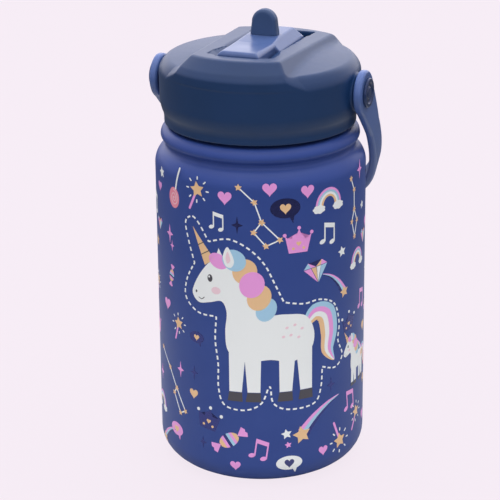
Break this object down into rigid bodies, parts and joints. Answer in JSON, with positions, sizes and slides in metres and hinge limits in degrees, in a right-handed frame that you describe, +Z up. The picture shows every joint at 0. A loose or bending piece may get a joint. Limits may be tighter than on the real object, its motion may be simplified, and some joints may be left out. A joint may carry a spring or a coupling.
{
  "type": "kids water bottle",
  "caption": "Insulated steel kids' water bottle with a screw lid, a flip-up straw spout with a thumb tab, and a swinging carry loop.",
  "frame": {"origin": "centre of the base on the surface the bottle stands on, on the flask's axis", "axes": "+Z up the flask's axis, -Y towards the front of the lid, X along the carry loop's pivot"},
  "size_m": [0.0784, 0.083, 0.1607],
  "materials": {
    "flask_paint": "matte powder coat with a printed pattern",
    "bare_steel": "electropolished",
    "getter_metal": "sintered",
    "seal_solder": "dull",
    "white_silicone": "satin",
    "lid_plastic": "satin moulded",
    "pin_plastic": "satin moulded",
    "spout_plastic": "satin gloss moulded",
    "blue_silicone": "matte",
    "loop_plastic": "satin moulded",
    "straw_plastic": "translucent"
  },
  "bodies": {
    "flask": {"outer_shell": "flask_paint", "inner_liner": "bare_steel", "base_plate": "bare_steel", "vacuum_getter": "getter_metal", "vacuum_seal": "seal_solder"},
    "gasket": {"lid_gasket": "white_silicone"},
    "lid": {"lid_shell": "lid_plastic", "lid_core": "lid_plastic", "vent_valve": "white_silicone", "spout_seal": "white_silicone", "straw_connector": "white_silicone", "straw": "straw_plastic", "left_spout_pin": "bare_steel", "right_spout_pin": "bare_steel", "left_pivot_pin": "pin_plastic", "right_pivot_pin": "pin_plastic"},
    "spout": {"spout_carrier": "spout_plastic", "mouthpiece": "blue_silicone", "thumb_tab": "blue_silicone"},
    "loop": {"carry_loop": "loop_plastic"}
  },
  "joints": [
    {"name": "lid_rise", "type": "slide", "parent": "flask", "child": "gasket", "axis": [0, 0, 1], "range_m": [0, 0.005]},
    {"name": "lid_turn", "type": "hinge", "parent": "gasket", "child": "lid", "pos_m": [0, 0, 0.1235], "axis": [0, 0, 1], "range_deg": [0, 450]},
    {"name": "spout_flip", "type": "hinge", "parent": "lid", "child": "spout", "pos_m": [0, 0.0175, 0.14645], "axis": [-1, 0, 0], "range_deg": [0, 90]},
    {"name": "loop_swing", "type": "hinge", "parent": "lid", "child": "loop", "pos_m": [0, 0, 0.136], "axis": [1, 0, 0], "range_deg": [0, 280]}
  ],
  "couplings": [
    {"joint": "lid_turn", "follows": "lid_rise", "rad_per_m": 1570.8}
  ]
}
